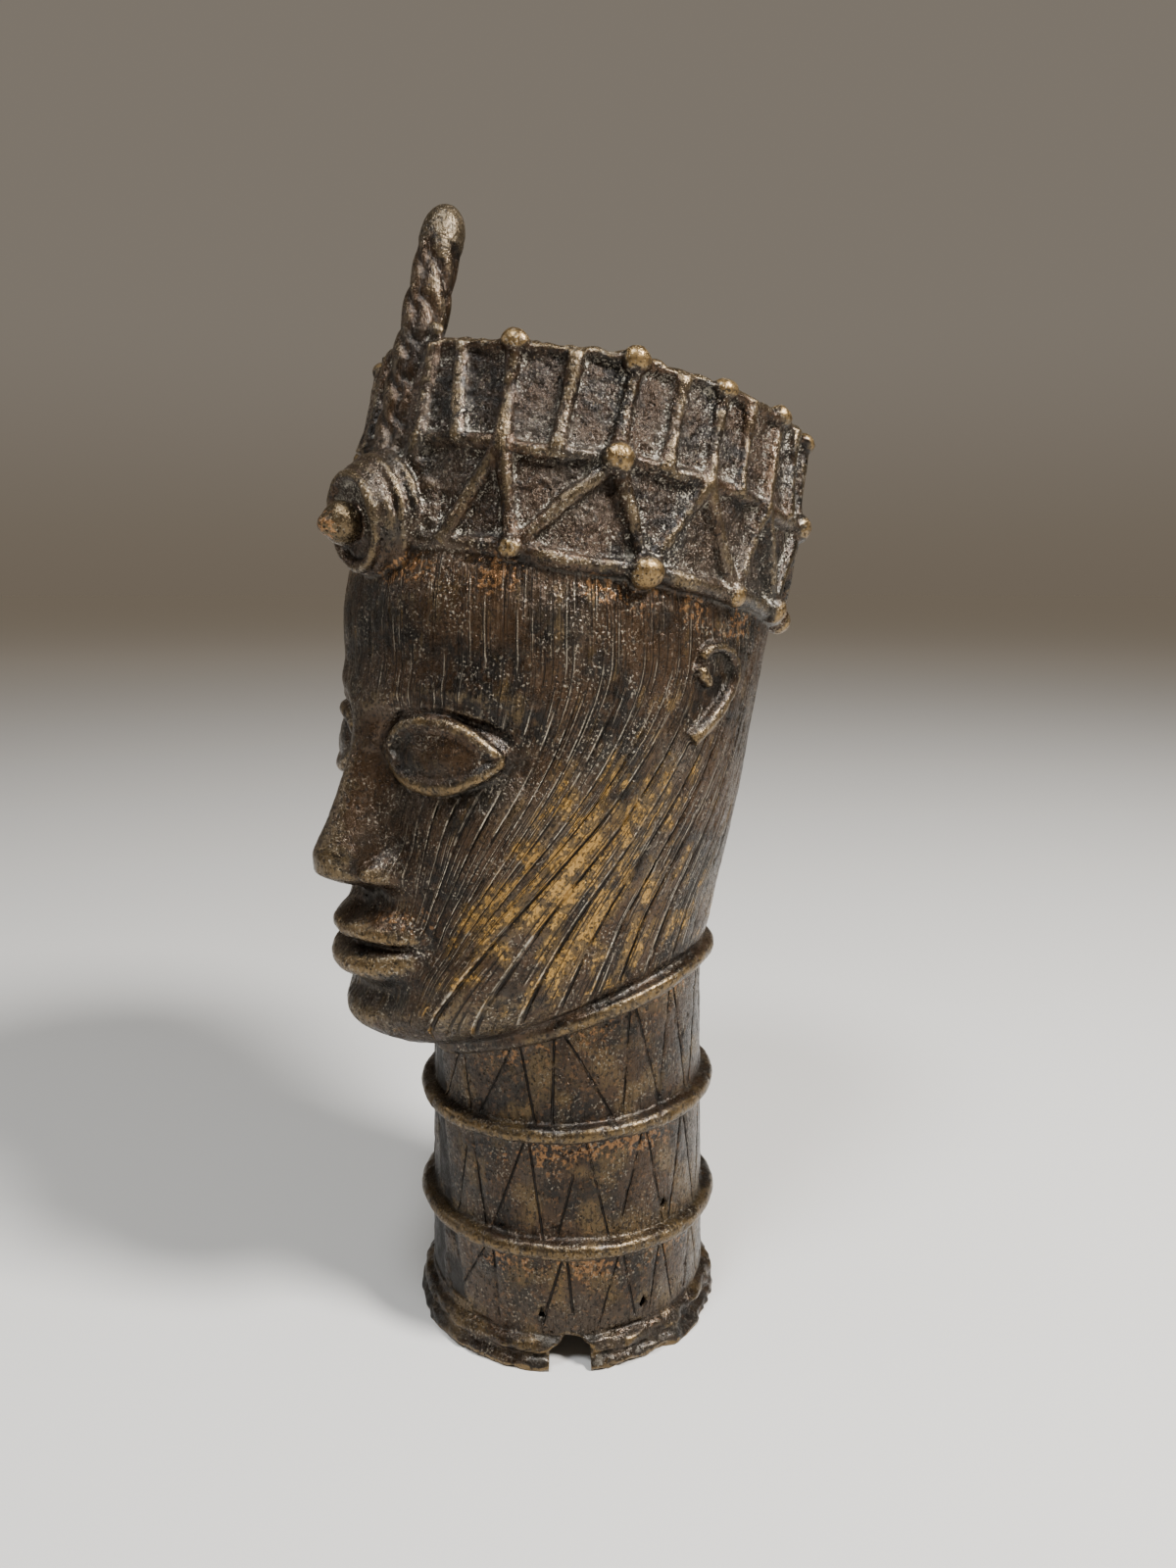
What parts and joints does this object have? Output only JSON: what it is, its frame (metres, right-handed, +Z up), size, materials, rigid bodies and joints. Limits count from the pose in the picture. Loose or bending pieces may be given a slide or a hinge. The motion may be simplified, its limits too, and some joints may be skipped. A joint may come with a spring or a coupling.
{
  "type": "cast bronze head sculpture",
  "caption": "Hollow cast bronze head on a ringed neck, with an open lattice crown, a coiled rosette and a braided plume, in dark brown patina.",
  "frame": {"origin": "middle of the outer box's underside, on the floor under the neck", "axes": "+Z up; the face looks towards -Y; the figure's left side is +X"},
  "size_m": [0.136, 0.1804, 0.3478],
  "materials": {
    "dark_bronze": "dark brown patina, rubbed to yellow metal on the raised threads and the cheeks"
  },
  "bodies": {
    "root": {"bronze_head": "dark_bronze"}
  },
  "joints": []
}
